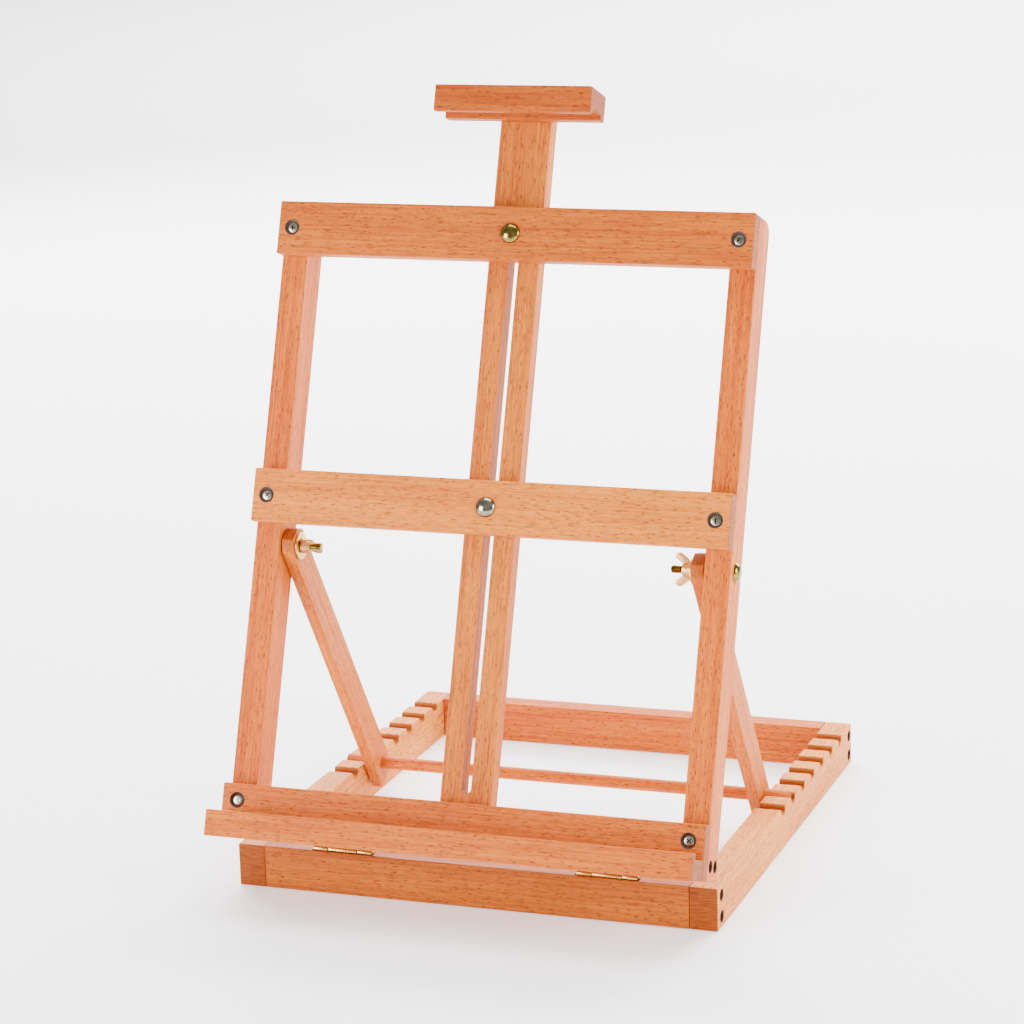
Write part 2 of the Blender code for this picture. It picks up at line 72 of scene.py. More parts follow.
# The mast with its canvas holder, and the prop.
MAST_WIDTH, MAST_THICKNESS = 37.5, 14
SLOT_RADIUS, SLOT_BOTTOM, SLOT_RISE = 3.5, 47, 7.5
HOLDER_WIDTH, HOLDER_DEPTH, HOLDER_BOTTOM, HOLDER_HEIGHT = 115.5, 33, 519, 19
HOLDER_LIP, HOLDER_LEG, HOLDER_CHANNEL = 5, 9, 4
HOLDER_SCREW_X, HOLDER_SCREW_UP = 10, 530.5
PIVOT_UP, PIVOT_BACK = 212.5, -15
STRUT_WIDTH, STRUT_THICKNESS, STRUT_PLAY, STRUT_TAIL = 24, 9, 0.8, 16
DOWEL_RADIUS, DOWEL_LENGTH, DOWEL_DROP = 4.8, 350, 1.7

# Fittings.
BOLT_RADIUS, BOLT_HOLE, THREAD, THREAD_PITCH = 2.95, 3.3, 20, 1.0
HEAD_RADIUS, HEAD_RISE, NECK = 7.15, 3.85, 3.2
MAST_BOLT, PROP_BOLT = 42, 46                # lengths under the head
MAST_WASHER, PROP_WASHER = 9, 10             # radii
HUB_FOOT, HUB_TOP, HUB_BORE, HUB_HEIGHT = 5.3, 4.4, 3.15, 6.9
WING, WING_TIP = 2.2, (9.2, 9)               # thickness, and how far out and up the tip lies
NUT_TURN = {"left": radians(-15), "right": radians(75)}
PILOT, FACE_BORE, SIDE_BORE = 2.3, 5.3, 4.3  # radii of the screws' holes
FACE_BORE_DEPTH, SIDE_BORE_DEPTH = 1.4, 5
HINGE_X, HINGE_HALF, LEAF_REACH = 98, 22, 14.1
LEAF_SCREW_PITCH, LEAF_SCREW_OUT = 16, 8.5
END_KNUCKLE, BARREL, BARREL_SEAT, PIN_HOLE = 11, 2.1, 2.4, 1.15
GAP = 0.3
EDGE = 0.9                        # how far the wood's edges are eased

# The hinge axis is the first joint's, and the base starts where its side rails do.
axis_y, axis_z = (frame["joints"][0]["pos_m"][k] / MM for k in (1, 2))
BASE_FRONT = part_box("base_rail_left")[0].y / MM
BASE_REAR = BASE_FRONT + BASE_DEPTH

# Where the frame's and the prop's own directions lie in the world.
LEANING = Matrix.Translation((0, axis_y, axis_z)) @ Matrix.Rotation(-LEAN, 4, "X")
LEVEL = Matrix.Identity(4)
pivot = LEANING @ Vector((0, PIVOT_BACK, PIVOT_UP))
dowel_y = BASE_REAR - LAST_NOTCH_REAR - DOWEL_NOTCH * NOTCH_PITCH - NOTCH_MOUTH / 2
dowel_z = BASE_HEIGHT - DOWEL_DROP
STRUT_LENGTH = hypot(dowel_y - pivot.y, dowel_z - pivot.z)
STRUT_ANGLE = atan2(dowel_y - pivot.y, pivot.z - dowel_z)
PROPPED = Matrix.Translation(pivot) @ Matrix.Rotation(STRUT_ANGLE, 4, "X")


# ---------------------------------------------------------------- materials
def linear(hex_colour):
    """An sRGB hex colour as linear RGBA."""
    parts = [int(hex_colour[i:i + 2], 16) / 255 for i in (1, 3, 5)]
    return (*[c / 12.92 if c <= 0.04045 else ((c + 0.055) / 1.055) ** 2.4 for c in parts], 1)


def add(tree, kind, sockets=(), **settings):
    """Add a node. A socket is given a value, or a (node, output) pair to link from."""
    made = tree.nodes.new(kind)
    for name, value in settings.items():
        setattr(made, name, value)
    for socket, value in dict(sockets).items():
        if isinstance(value, tuple) and isinstance(value[0], bpy.types.Node):
            tree.links.new(value[0].outputs[value[1]], made.inputs[socket])
        else:
            made.inputs[socket].default_value = value
    return made


def new_material(name):
    made = bpy.data.materials.new(name)
    made.use_nodes = True
    return made, made.node_tree, made.node_tree.nodes["Principled BSDF"]


def stops(ramp, *marks):
    """Set a colour ramp's stops from (position, hex colour) pairs."""
    elements = ramp.color_ramp.elements
    while len(elements) < len(marks):
        elements.new(0.5)
    for element, (place, colour) in zip(elements, marks):
        element.position = place
        element.color = linear(colour)


def beech(
    name, turn, shift, pale="#CF6A13", deep="#B04908", rough=0.52,
    end_pale="#96480B", end_dark="#672905",
):
    """Steamed beech, planed, sanded and oiled: salmon orange, with faint growth lines, short
    dark flecks along the grain, and darker end grain. turn lays the grain along X."""
    made, tree, shader = new_material(name)
    where = add(tree, "ShaderNodeTexCoord")
    laid = add(tree, "ShaderNodeMapping", {
        "Vector": (where, "Object"), "Rotation": turn, "Location": shift})
    facing = add(tree, "ShaderNodeMapping", {
        "Vector": (where, "Normal"), "Rotation": turn}, vector_type="NORMAL")

    def stretched(long_mm, wide_mm):
        """Space in which one unit is long_mm along the grain and wide_mm across it."""
        scale = (1 / (long_mm * MM), 1 / (wide_mm * MM), 1 / (wide_mm * MM))
        return add(tree, "ShaderNodeVectorMath", {
            0: (laid, "Vector"), 1: scale}, operation="MULTIPLY")

    # Broad drifts of tone, 260 mm long and 20 mm wide.
    drift = add(tree, "ShaderNodeTexNoise", {
        "Vector": (stretched(260, 20), "Vector"), "Scale": 1.0, "Detail": 3.0})
    # Growth lines, 90 mm long and 1.9 mm wide, that wander a little.
    lines = add(tree, "ShaderNodeTexNoise", {
        "Vector": (stretched(90, 1.9), "Vector"), "Scale": 1.0, "Detail": 4.0,
        "Roughness": 0.62, "Distortion": 0.35})
    blended = add(tree, "ShaderNodeMath", {
        0: (drift, "Fac"), 1: 0.62, 2: (lines, "Fac")}, operation="MULTIPLY_ADD")
    tone = add(tree, "ShaderNodeMapRange", {
        "Value": (blended, "Value"), "From Min": 0.62, "From Max": 1.0})
    wood = add(tree, "ShaderNodeValToRGB", {"Fac": (tone, "Result")})
    stops(wood, (0.0, deep), (1.0, pale))

    # Ray flecks: scattered dark dashes with soft edges, up to 4.6 mm long and 1 mm wide,
    # with fainter ones of half that size between them.
    cells = add(tree, "ShaderNodeTexVoronoi", {
        "Vector": (stretched(8.5, 1.9), "Vector"), "Scale": 1.0, "Randomness": 1.0})
    fleck = add(tree, "ShaderNodeMapRange", {
        "Value": (cells, "Distance"), "From Min": 0.12, "From Max": 0.27,
        "To Min": 1.0, "To Max": 0.0})
    small = add(tree, "ShaderNodeTexVoronoi", {
        "Vector": (stretched(4.2, 1.1), "Vector"), "Scale": 1.0, "Randomness": 1.0})
    speck = add(tree, "ShaderNodeMapRange", {
        "Value": (small, "Distance"), "From Min": 0.10, "From Max": 0.26,
        "To Min": 0.6, "To Max": 0.0})
    # Short broken streaks between the flecks, about 8 mm long and 1.3 mm wide.
    broken = add(tree, "ShaderNodeTexNoise", {
        "Vector": (stretched(8, 1.3), "Vector"), "Scale": 1.0, "Detail": 2.0,
        "Roughness": 0.6, "Distortion": 0.5})
    streak = add(tree, "ShaderNodeMapRange", {
        "Value": (broken, "Fac"), "From Min": 0.5, "From Max": 0.72,
        "To Min": 0.0, "To Max": 0.62})
    spots = add(tree, "ShaderNodeMath", {
        0: (fleck, "Result"), 1: (speck, "Result")}, operation="MAXIMUM")
    dark = add(tree, "ShaderNodeMath", {
        0: (spots, "Value"), 1: (streak, "Result")}, operation="MAXIMUM")
    amount = add(tree, "ShaderNodeMath", {0: (dark, "Value"), 1: 0.8}, operation="MULTIPLY")
    flecked = add(tree, "ShaderNodeMix", {
        "Factor": (amount, "Value"), 6: (wood, "Color"), 7: linear("#4E1E08")},
        data_type="RGBA")

    # End grain: redder and darker, with the growth rings' edges as fine bands and pores.
    along = add(tree, "ShaderNodeSeparateXYZ", {"Vector": (facing, "Vector")})
    size = add(tree, "ShaderNodeMath", {0: (along, "X")}, operation="ABSOLUTE")
    end = add(tree, "ShaderNodeMapRange", {
        "Value": (size, "Value"), "From Min": 0.55, "From Max": 0.9})
    ringed = add(tree, "ShaderNodeVectorMath", {
        0: (laid, "Vector"), 1: (0.0, 1 / (9 * MM), 1 / (0.8 * MM))}, operation="MULTIPLY")
    pores = add(tree, "ShaderNodeTexNoise", {
        "Vector": (ringed, "Vector"), "Scale": 1.0, "Detail": 3.0, "Distortion": 0.3})
    cut = add(tree, "ShaderNodeValToRGB", {"Fac": (pores, "Fac")})
    stops(cut, (0.3, end_dark), (0.7, end_pale))
    coloured = add(tree, "ShaderNodeMix", {
        "Factor": (end, "Result"), 6: (flecked, "Result"), 7: (cut, "Color")},
        data_type="RGBA")
    tree.links.new(coloured.outputs["Result"], shader.inputs["Base Color"])

    # Sanded fibres, 14 mm long and 0.5 mm wide, coarser than life so that they show.
    fibres = add(tree, "ShaderNodeTexNoise", {
        "Vector": (stretched(14, 0.5), "Vector"), "Scale": 1.0, "Detail": 2.0})
    sunk = add(tree, "ShaderNodeMath", {
        0: (dark, "Value"), 1: -0.8, 2: (fibres, "Fac")}, operation="MULTIPLY_ADD")
    relief = add(tree, "ShaderNodeBump", {
        "Height": (sunk, "Value"), "Strength": 0.35, "Distance": 0.06 * MM})
    tree.links.new(relief.outputs["Normal"], shader.inputs["Normal"])
    sheen = add(tree, "ShaderNodeMapRange", {
        "Value": (lines, "Fac"), "From Min": 0.3, "From Max": 0.7,
        "To Min": rough + 0.07, "To Max": rough - 0.05})
    tree.links.new(sheen.outputs["Result"], shader.inputs["Roughness"])
    shader.inputs["IOR"].default_value = 1.5
    shader.inputs["Specular IOR Level"].default_value = 0.12
    return made


def plated(name, bright, dull, rough, patch_mm=3.0):
    """Plated or polished metal, with faint handling marks in its shine."""
    made, tree, shader = new_material(name)
    where = add(tree, "ShaderNodeTexCoord")
    marks = add(tree, "ShaderNodeTexNoise", {
        "Vector": (where, "Object"), "Scale": 1 / (patch_mm * MM), "Detail": 5.0})
    tint = add(tree, "ShaderNodeValToRGB", {"Fac": (marks, "Fac")})
    stops(tint, (0.3, dull), (0.65, bright))
    shine = add(tree, "ShaderNodeMapRange", {
        "Value": (marks, "Fac"), "From Min": 0.3, "From Max": 0.7,
        "To Min": rough * 1.6, "To Max": rough * 0.8})
    tree.links.new(tint.outputs["Color"], shader.inputs["Base Color"])
    tree.links.new(shine.outputs["Result"], shader.inputs["Roughness"])
    shader.inputs["Metallic"].default_value = 1.0
    return made


NICKEL = plated("nickel-plated steel, polished", "#958D7E", "#5F584C", 0.1)
YELLOW_ZINC = plated("steel plated in yellow zinc, bright", "#8F7A3C", "#54431C", 0.11)
SCREW_STEEL = plated("nickel-plated screw steel", "#A99F8C", "#655D50", 0.22, 1.5)
BRASS = plated("brass, polished", "#E2B563", "#B98A45", 0.24)
COPPERED = plated("brass wing nut, cast and tumbled", "#D9A367", "#A86F40", 0.34)


def bore_shade_material():
    """Painted shade for the walls of the screw holes: beech nearly black, standing in for the
    shade inside the bores.
    """
    made, tree, shader = new_material("beech screw bores, painted shade")
    where = add(tree, "ShaderNodeTexCoord")
    rings = add(tree, "ShaderNodeTexNoise", {
        "Vector": (where, "Object"), "Scale": 1 / (0.8 * MM), "Detail": 2.0})
    tint = add(tree, "ShaderNodeValToRGB", {"Fac": (rings, "Fac")})
    stops(tint, (0.3, "#1C0A03"), (0.7, "#4A1E08"))
    tree.links.new(tint.outputs["Color"], shader.inputs["Base Color"])
    shader.inputs["Roughness"].default_value = 0.6
    return made


# Painted shade: the walls of the screw bores are coloured nearly black to stand for the shade
# inside them.
BORE_SHADE = bore_shade_material()

TURN_X = Euler((0, 0, 0))
TURN_Y = Euler((0, 0, -pi / 2))
TURN_BOARD = Euler((LEAN, 0, 0))
TURN_UPRIGHT = Euler((LEAN, pi / 2, 0))
TURN_STRUT = Euler((-STRUT_ANGLE, pi / 2, 0))


# ---------------------------------------------------------------- shapes, in millimetres
def slab(outline, start, run):
    """An outline of points, moved to start and pushed along run."""
    bm = bmesh.new()
    face = bm.faces.new([bm.verts.new(Vector(p) + Vector(start)) for p in outline])
    pushed = bmesh.ops.extrude_face_region(bm, geom=[face])
    moved = [v for v in pushed["geom"] if isinstance(v, bmesh.types.BMVert)]
    bmesh.ops.translate(bm, vec=run, verts=moved)
    bmesh.ops.recalc_face_normals(bm, faces=bm.faces)
    return bm


def block(low, high):
    """A box between two corners."""
    bm = bmesh.new()
    bmesh.ops.create_cube(bm, size=1)
    bmesh.ops.scale(bm, vec=Vector(high) - Vector(low), verts=bm.verts)
    bmesh.ops.translate(bm, vec=(Vector(low) + Vector(high)) / 2, verts=bm.verts)
    return bm


def ease(bm, width=EDGE, segments=3, angle=40):
    """Round the sharp edges over."""
    sharp = [e for e in bm.edges if e.calc_face_angle(0) > radians(angle)]
    bmesh.ops.bevel(
        bm, geom=sharp, offset=width, segments=segments, affect="EDGES",
        profile=0.5, material=-1, clamp_overlap=True,
    )
    return bm


def turned(profile, steps=48):
    """A profile of (radius, height) points turned about Z."""
    bm = bmesh.new()
    points = [bm.verts.new((r, 0, z)) for r, z in profile]
    edges = [bm.edges.new(pair) for pair in zip(points, points[1:])]
    if profile[0][0] > 0:
        edges.append(bm.edges.new((points[-1], points[0])))
    bmesh.ops.spin(
        bm, geom=points + edges, cent=(0, 0, 0), axis=(0, 0, 1),
        angle=2 * pi, steps=steps, use_merge=True,
    )
    bmesh.ops.remove_doubles(bm, verts=bm.verts, dist=1e-4)
    bmesh.ops.recalc_face_normals(bm, faces=bm.faces)
    return bm


def rod(radius, length, steps=48):
    """A plain round bar that stands on Z."""
    return turned([(0, 0), (radius, 0), (radius, length), (0, length)], steps)


def rounded_turn(profile, width, segments=3, steps=48):
    """A turned profile with its corners rounded over."""
    return ease(turned(profile, steps), width, segments, 30)


def aim(bm, start, direction, spin=0.0):
    """Point a shape that stands on Z along a direction."""
    turn = Vector(direction).to_track_quat("Z", "Y").to_matrix().to_4x4()
    place = Matrix.Translation(start) @ turn @ Matrix.Rotation(spin, 4, "Z")
    bmesh.ops.transform(bm, matrix=place, verts=bm.verts)
    return bm


def merge(*parts):
    """Several closed shapes in one mesh."""
    whole = bmesh.new()
    for part in parts:
        mesh = bpy.data.meshes.new("part")
        part.to_mesh(mesh)
        part.free()
        whole.from_mesh(mesh)
        bpy.data.meshes.remove(mesh)
    return whole


def plain_object(name, bm, place, materials):
    """An object whose place is in its mesh, with a name that holds no space or comma."""
    name = name.replace(",", "").replace(" ", "_")
    bmesh.ops.transform(bm, matrix=Matrix.Scale(MM, 4) @ place, verts=bm.verts)
    mesh = bpy.data.meshes.new(name)
    bm.to_mesh(mesh)
    bm.free()
    for material in materials:
        mesh.materials.append(material)
    made = bpy.data.objects.new(name, mesh)
    bpy.context.scene.collection.objects.link(made)
    return made


def combine(target, cutter, operation):
    """Cut a shape out of a piece, or join it on, for good."""
    change = target.modifiers.new("cut", "BOOLEAN")
    change.operation = operation
    change.solver = "EXACT"
    change.use_self = True
    change.object = cutter
    bpy.context.view_layer.update()
    graph = bpy.context.evaluated_depsgraph_get()
    mesh = bpy.data.meshes.new_from_object(target.evaluated_get(graph))
    target.modifiers.clear()
    old = target.data
    target.data = mesh
    mesh.name = target.name
    bpy.data.meshes.remove(old)
    bpy.data.objects.remove(cutter)


def piece(name, bm, place, material, body, nodes, slot, cuts=None, joins=None, angle=14):
    """A finished piece that stands for CAD nodes and moves with their body. The walls of
    screw holes in wood take the second material, a near-black painted shade for the bores."""
    materials = (material, BORE_SHADE) if slot == "beech" and cuts else (material,)
    made = plain_object(name, bm, place, materials)
    if joins:
        combine(made, plain_object("joined", joins, place, materials), "UNION")
    if cuts:
        combine(made, plain_object("cutter", cuts, place, materials), "DIFFERENCE")
    made.data.shade_smooth()
    made.data.set_sharp_from_angle(angle=radians(angle))
    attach(made, body)
    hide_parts(*nodes)
    return made


def counterbore(mouth, direction, radius, depth, pilot_depth):
    """Cutter for a sunk screw: a flat-bottomed bore with a pilot hole."""
    profile = [
        (0, -2), (radius + 0.35, -2), (radius + 0.35, 0), (radius, 0.45), (radius, depth),
        (PILOT, depth + 1.6), (PILOT, pilot_depth), (0, pilot_depth),
    ]
    cutter = aim(turned(profile), mouth, direction)
    # The bore's faces take the second material, the near-black painted shade of the screw holes.
    for face in cutter.faces:
        face.material_index = 1
    return cutter


def bolt_hole(start, direction, length):
    """Cutter for a bolt's hole, which starts 2 mm outside the wood."""
    profile = [(0, -2), (BOLT_HOLE, -2), (BOLT_HOLE, length), (0, length)]
    return aim(turned(profile), start, direction)


def screw(name, seat, direction, place, body, node, spin=0.0, length=18):
    """Countersunk cross-recess screw, with its seat in the middle of the head's top."""
    head = [
        (0, -0.25), (1.5, -0.22), (2.9, -0.08), (3.6, 0.1), (3.85, 0.35), (3.85, 0.55),
        (2.2, 2.5), (2.0, 3.4), (2.0, length - 2), (0.3, length), (0, length),
    ]
    arms = []
    for turn in (0, pi / 2):
        arm = slab(
            [(-2.4, -0.5, -1), (2.4, -0.5, -1), (2.4, 0.5, -1), (-2.4, 0.5, -1)],
            (0, 0, 0), (0, 0, 3.2))
        for corner in arm.verts:
            if corner.co.z > 0:
                corner.co.x *= 0.3
                corner.co.y *= 0.6
        bmesh.ops.rotate(arm, matrix=Matrix.Rotation(turn + spin, 3, "Z"), verts=arm.verts)
        arms.append(aim(arm, seat, direction))
    return piece(
        name, aim(turned(head, 40), seat, direction), place, SCREW_STEEL, body, [node],
        "nickel_steel", cuts=merge(*arms), angle=32)


# ---------------------------------------------------------------- base frame
def notch(rear):
    """One notch's outline from its front lip to its rear lip."""
    centre = rear - NOTCH_MOUTH / 2
    middle = BASE_HEIGHT - NOTCH_DEPTH + NOTCH_RADIUS
    turns = [pi + pi * k / 14 for k in range(15)]
    bottom = [
        (0, centre + NOTCH_RADIUS * cos(a), middle + NOTCH_RADIUS * sin(a)) for a in turns]
    return [(0, rear - NOTCH_MOUTH, BASE_HEIGHT), *bottom, (0, rear, BASE_HEIGHT)]


def build_base():
    half = BASE_WIDTH / 2
    outline = [(0, BASE_REAR, 0), (0, BASE_FRONT, 0), (0, BASE_FRONT, BASE_HEIGHT)]
    for index in reversed(range(NOTCHES)):
        outline += notch(BASE_REAR - LAST_NOTCH_REAR - index * NOTCH_PITCH)
    outline.append((0, BASE_REAR, BASE_HEIGHT))
    screw_places = [
        (end, y, level, z)
        for end, y in (("front", BASE_FRONT + FRONT_SCREWS), ("rear", BASE_REAR - REAR_SCREWS))
        for level, z in (("lower", BASE_HEIGHT * 0.25), ("upper", BASE_HEIGHT * 0.75))
    ]
    for side, label, shift in ((-1, "left", 0.31), (1, "right", 0.87)):
        start = half - SIDE_RAIL if side > 0 else -half
        rail = ease(slab(outline, (start, 0, 0), (SIDE_RAIL, 0, 0)), 0.8)
        holes = [
            counterbore((side * half, y, z), (-side, 0, 0), SIDE_BORE, SIDE_BORE_DEPTH, 18)
            for _, y, _, z in screw_places
        ]
        wood = beech(
            f"steamed beech, {label} base rail", TURN_Y, (shift, 0.02, 0.01 * side),
            "#DA8733", "#C0661C")
        piece(
            f"notched {label} base rail", rail, LEVEL, wood, "base", [f"base_rail_{label}"],
            "beech", cuts=merge(*holes))
        for end, y, level, z in screw_places:
            screw(
                f"base screw, {end} {label} {level}", (side * (half - SIDE_BORE_DEPTH), y, z),
                (-side, 0, 0), LEVEL, "base", f"base_screw_{end}_{label}_{level}",
                spin=0.4 + y * 0.1)

    reach = half - SIDE_RAIL - GAP
    recess = []
    for centre in (-HINGE_X, HINGE_X):
        low, high = centre - HINGE_HALF, centre + HINGE_HALF
        recess.append(block(
            (low - GAP, axis_y + 0.4, axis_z - 1.5),
            (high + GAP, axis_y + LEAF_REACH + GAP, axis_z + 5)))
        seat = rod(BARREL_SEAT, 2 * (HINGE_HALF + 1.3))
        recess.append(aim(seat, (low - 1.3, axis_y, axis_z), (1, 0, 0)))
    front = block((-reach, BASE_FRONT, 0), (reach, BASE_FRONT + END_RAIL, BASE_HEIGHT))
    piece(
        "front base rail", ease(front, 0.7), LEVEL,
        beech("steamed beech, front base rail", TURN_X, (0.13, 0.4, 0.2), "#B66013", "#8F4008"),
        "base", ["base_rail_front"], "beech", cuts=merge(*recess))
    rear = block((-reach, BASE_REAR - END_RAIL, 0), (reach, BASE_REAR, BASE_HEIGHT))
    piece(
        "rear base rail", ease(rear, 0.7), LEVEL,
        beech("steamed beech, rear base rail", TURN_X, (0.55, 0.1, 0.6)),
        "base", ["base_rail_rear"], "beech")


# ---------------------------------------------------------------- leaning frame
def build_frame():
    half = FRAME_WIDTH / 2
    rounded = [
        (0, FRAME_BACK + TOP_ROUND * (cos(a) - 1), FRAME_TOP + TOP_ROUND * (sin(a) - 1))
        for a in [pi / 2 * k / 12 for k in range(13)]
    ]
    outline = [
        (0, BOARD_BACK + GAP, FRAME_BOTTOM), (0, FRAME_BACK, FRAME_BOTTOM), *rounded,
        (0, BOARD_BACK + GAP, FRAME_TOP),
    ]
    rows = {
        "top": (TOP_BAR, TOP_BAR + BOARD_HEIGHT / 2, FRAME_WIDTH, "crossbar_top"),
        "middle": (MIDDLE_BAR, MIDDLE_BAR + BOARD_HEIGHT / 2, FRAME_WIDTH, "crossbar_middle"),
        "board": (FRAME_BOTTOM, TRAY_SCREW, TRAY_WIDTH, "tray_board"),
    }
    rail_middle = FRAME_BOTTOM + BOTTOM_RAIL_HEIGHT / 2
    for side, label in ((-1, "left"), (1, "right")):
        inner = half - UPRIGHT_WIDTH if side > 0 else -half
        upright = ease(slab(outline, (inner, 0, 0), (UPRIGHT_WIDTH, 0, 0)))
        holes = [bolt_hole((side * half, PIVOT_BACK, PIVOT_UP), (-side, 0, 0), 22)]
        for back in RAIL_SCREWS.values():
            mouth = (side * half, BOARD_BACK + back, rail_middle)
            holes.append(counterbore(mouth, (-side, 0, 0), SIDE_BORE, SIDE_BORE_DEPTH, 21))
        for _, height, _, _ in rows.values():
            start = (side * FACE_SCREW_X, BOARD_BACK - 1, height)
            holes.append(aim(rod(PILOT, 20), start, (0, 1, 0)))
        wood = beech(
            f"steamed beech, {label} upright", TURN_UPRIGHT, (0.2 * side, 0.3, 0.15 * side))
        piece(
            f"{label} upright", upright, LEANING, wood, "front_frame", [f"upright_{label}"],
            "beech", cuts=merge(*holes))
        for name, back in RAIL_SCREWS.items():
            seat = (side * (half - SIDE_BORE_DEPTH), BOARD_BACK + back, rail_middle)
            screw(
                f"bottom rail screw, {label} {name}", seat, (-side, 0, 0), LEANING,
                "front_frame", f"rail_screw_{label}_{name}", spin=back)

    names = {"top": "top crossbar", "middle": "middle crossbar", "board": "tray board"}
    tones = {
        "top": ("#BF6211", "#9E4408"),
        "middle": ("#DB7F22", "#BD6017"),
        "board": ("#CB6813", "#AC4809"),
    }
    for index, (row, (low, height, width, node)) in enumerate(rows.items()):
        board = ease(block(
            (-width / 2, FRAME_FRONT, low), (width / 2, BOARD_BACK, low + BOARD_HEIGHT)))
        holes = [
            counterbore((x, FRAME_FRONT, height), (0, 1, 0), FACE_BORE, FACE_BORE_DEPTH, 14)
            for x in (-FACE_SCREW_X, FACE_SCREW_X)
        ]
        if row != "board":
            holes.append(bolt_hole((0, FRAME_FRONT, low + BOARD_HEIGHT / 2), (0, 1, 0), 16))
        wood = beech(
            f"steamed beech, {row} board", TURN_BOARD, (0.37 * index, 0.11 * index, 0.05),
            *tones[row])
        piece(
            names[row], board, LEANING, wood, "front_frame", [node], "beech",
            cuts=merge(*holes))
        for side, label in ((-1, "left"), (1, "right")):
            screw(
                f"face screw, {row} {label}",
                (side * FACE_SCREW_X, FRAME_FRONT + FACE_BORE_DEPTH, height),
                (0, 1, 0), LEANING, "front_frame", f"face_screw_{row}_{label}",
                spin=0.5 + index * 0.7 + side * 0.4)

    back, front = FRAME_FRONT - GAP, FRAME_FRONT - GAP - LEDGE_DEPTH
    floor, rim = FRAME_BOTTOM + LEDGE_FLOOR, FRAME_BOTTOM + LEDGE_HEIGHT
    ledge = slab([
        (0, back, FRAME_BOTTOM), (0, back, floor), (0, front + LEDGE_LIP, floor),
        (0, front + LEDGE_LIP, rim), (0, front, rim), (0, front, FRAME_BOTTOM),
    ], (-TRAY_WIDTH / 2, 0, 0), (TRAY_WIDTH, 0, 0))
    piece(
        "tray ledge", ease(ledge), LEANING,
        beech("steamed beech, tray ledge", TURN_BOARD, (0.71, 0.23, 0.4), "#CD6C15", "#AE4D0A"),
        "front_frame", ["tray_ledge"], "beech")

    reach = half - UPRIGHT_WIDTH - GAP
    leaf = HINGE_HALF + GAP
    recess = merge(*[
        block((c - leaf, -1.5, -5), (c + leaf, 5, LEAF_REACH + GAP))
        for c in (-HINGE_X, HINGE_X)
    ])
    rail = block(
        (-reach, BOARD_BACK + GAP, FRAME_BOTTOM),
        (reach, FRAME_BACK, FRAME_BOTTOM + BOTTOM_RAIL_HEIGHT))
    piece(
        "bottom rail", ease(rail, 0.7), LEANING,
        beech("steamed beech, bottom rail", TURN_BOARD, (0.9, 0.5, 0.1)),
        "front_frame", ["bottom_rail"], "beech", cuts=recess)


# ---------------------------------------------------------------- mast and canvas holder
def build_mast():
    front, back = BOARD_BACK + GAP, BOARD_BACK + GAP + MAST_THICKNESS
    low = FRAME_BOTTOM + BOTTOM_RAIL_HEIGHT + GAP
    high = HOLDER_BOTTOM + HOLDER_HEIGHT
    slat = ease(block((-MAST_WIDTH / 2, front, low), (MAST_WIDTH / 2, back, high - GAP)))
    slot_low = SLOT_BOTTOM + SLOT_RADIUS
    slot_high = TOP_BAR + BOARD_HEIGHT / 2 + SLOT_RISE - SLOT_RADIUS
    ends = [(slot_high, radians(a)) for a in range(0, 181, 15)]
    ends += [(slot_low, radians(a)) for a in range(180, 361, 15)]
    slot = slab(
        [(SLOT_RADIUS * cos(a), 0, z + SLOT_RADIUS * sin(a)) for z, a in ends],
        (0, front - 2, 0), (0, MAST_THICKNESS + 4, 0))
    screws = {"left": -HOLDER_SCREW_X, "right": HOLDER_SCREW_X}
    holes = [
        counterbore((x, back, HOLDER_SCREW_UP), (0, -1, 0), SIDE_BORE, 1, 16)
        for x in screws.values()
    ]
    piece(
        "mast slat", slat, LEANING,
        beech("steamed beech, mast", TURN_UPRIGHT, (0.05, 0.7, 0.33), "#CD721A", "#AD510E"),
        "mast", ["mast_slat"], "beech", cuts=merge(slot, *holes))

    rear, nose = BOARD_BACK, BOARD_BACK - HOLDER_DEPTH
    groove = HOLDER_BOTTOM + HOLDER_CHANNEL
    holder = slab([
        (0, rear, HOLDER_BOTTOM), (0, rear, high), (0, nose, high), (0, nose, HOLDER_BOTTOM),
        (0, nose + HOLDER_LIP, HOLDER_BOTTOM), (0, nose + HOLDER_LIP, groove),
        (0, rear - HOLDER_LEG, groove), (0, rear - HOLDER_LEG, HOLDER_BOTTOM),
    ], (-HOLDER_WIDTH / 2, 0, 0), (HOLDER_WIDTH, 0, 0))
    piece(
        "canvas holder", ease(holder, 1.0), LEANING,
        beech("steamed beech, canvas holder", TURN_BOARD, (0.44, 0.9, 0.7), "#B65810", "#923C06"),
        "mast", ["canvas_holder"], "beech")
    for label, x in screws.items():
        screw(
            f"canvas holder screw, {label}", (x, back - 1, HOLDER_SCREW_UP), (0, -1, 0),
            LEANING, "mast", f"holder_screw_{label}", spin=x, length=28)


